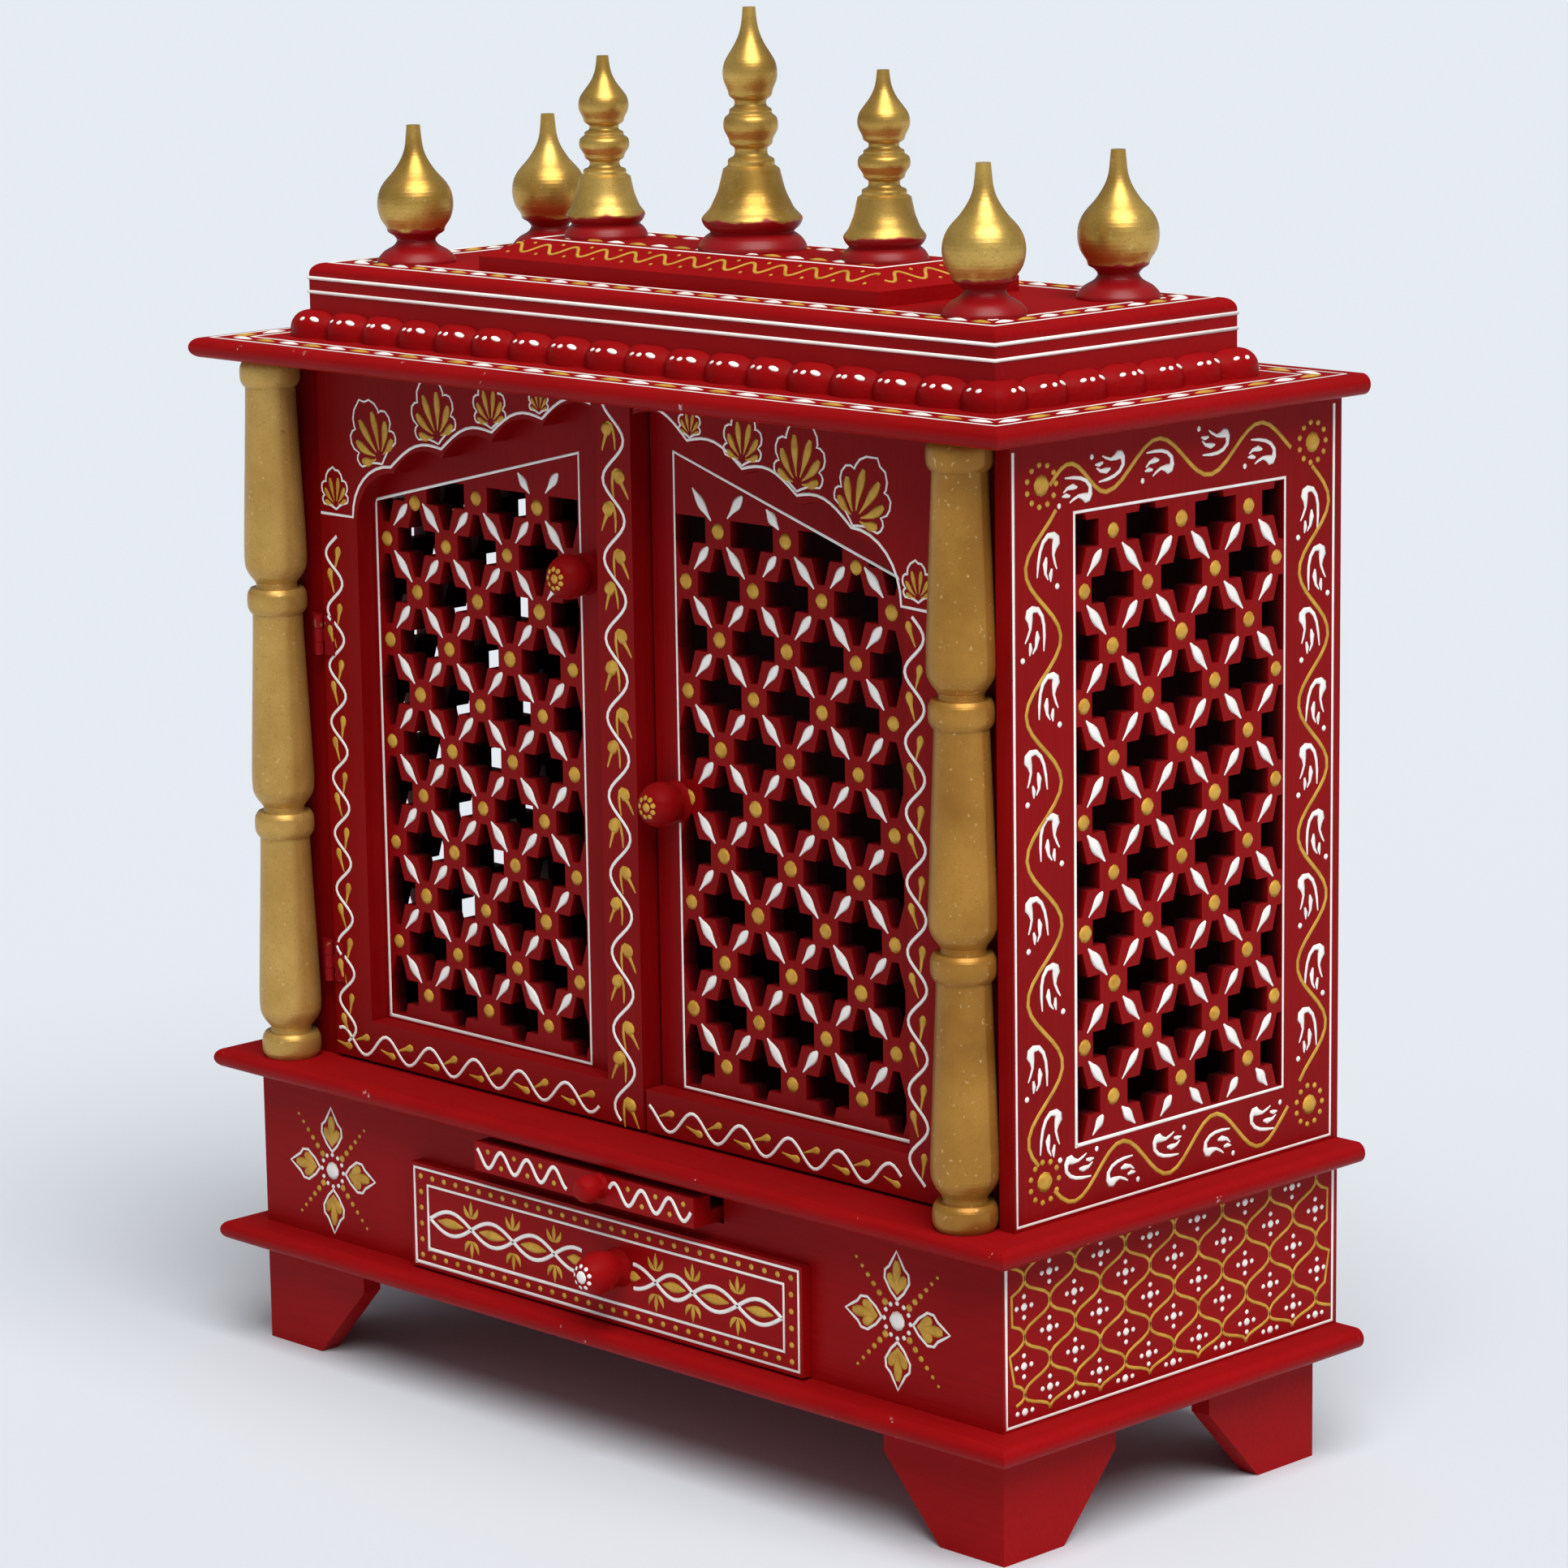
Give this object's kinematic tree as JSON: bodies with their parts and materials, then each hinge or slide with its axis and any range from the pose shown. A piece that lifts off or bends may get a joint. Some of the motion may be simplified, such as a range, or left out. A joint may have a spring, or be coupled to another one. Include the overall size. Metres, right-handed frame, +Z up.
{
  "type": "free-standing home shrine cabinet (pooja mandir)",
  "caption": "Red painted wooden home shrine on feet, with latticed double doors, turned gold columns, a drawer, a pull-out tray and a stepped top with finials.",
  "frame": {"origin": "centre of the footprint, on the floor under the feet", "axes": "+Z up, the doors face -Y, +X to the right of someone who faces the doors"},
  "size_m": [0.61, 0.29, 0.756],
  "materials": {
    "red_paint": "satin painted",
    "gold_paint": "gold painted",
    "hinge_brass": "painted over"
  },
  "bodies": {
    "cabinet": {"foot_front_left": "red_paint", "foot_front_right": "red_paint", "foot_back_left": "red_paint", "foot_back_right": "red_paint", "bottom_ledge": "red_paint", "base_front_left": "red_paint", "base_front_right": "red_paint", "base_front_rail": "red_paint", "base_sides": "red_paint", "base_back": "red_paint", "tray_runners": "red_paint", "mid_ledge": "red_paint", "left_side_panel": "red_paint", "right_side_panel": "red_paint", "back_panel": "red_paint", "front_posts": "red_paint", "left_column": "gold_paint", "right_column": "gold_paint", "cornice": "red_paint", "bead_moulding": "red_paint", "plinth": "red_paint", "upper_step": "red_paint", "finial_front_left": "gold_paint", "finial_front_right": "gold_paint", "finial_back_left": "gold_paint", "finial_back_right": "gold_paint", "left_spire": "gold_paint", "middle_spire": "gold_paint", "right_spire": "gold_paint", "door_hinges": "hinge_brass"},
    "left_door": {"left_door_jali": "red_paint", "left_door_stile": "red_paint", "left_door_rail": "red_paint", "left_door_spandrel": "red_paint", "seam_strip": "red_paint", "left_door_knob": "red_paint", "left_door_hinges": "hinge_brass"},
    "right_door": {"right_door_jali": "red_paint", "right_door_stile": "red_paint", "right_door_rail": "red_paint", "right_door_spandrel": "red_paint", "right_door_knob": "red_paint", "right_door_hinges": "hinge_brass"},
    "drawer": {"drawer_front": "red_paint", "drawer_box": "red_paint", "drawer_knob": "red_paint"},
    "tray": {"tray_front": "red_paint", "tray_board": "red_paint", "tray_knob": "red_paint"}
  },
  "joints": [
    {"name": "left_door_swing", "type": "hinge", "parent": "cabinet", "child": "left_door", "pos_m": [-0.24, -0.09895, 0.36], "axis": [0, 0, -1], "range_deg": [0, 90]},
    {"name": "right_door_swing", "type": "hinge", "parent": "cabinet", "child": "right_door", "pos_m": [0.24, -0.09895, 0.36], "axis": [0, 0, 1], "range_deg": [0, 90]},
    {"name": "drawer_slide", "type": "slide", "parent": "cabinet", "child": "drawer", "axis": [0, -1, 0], "range_m": [0, 0.15]},
    {"name": "tray_slide", "type": "slide", "parent": "cabinet", "child": "tray", "axis": [0, -1, 0], "range_m": [0, 0.12]}
  ]
}
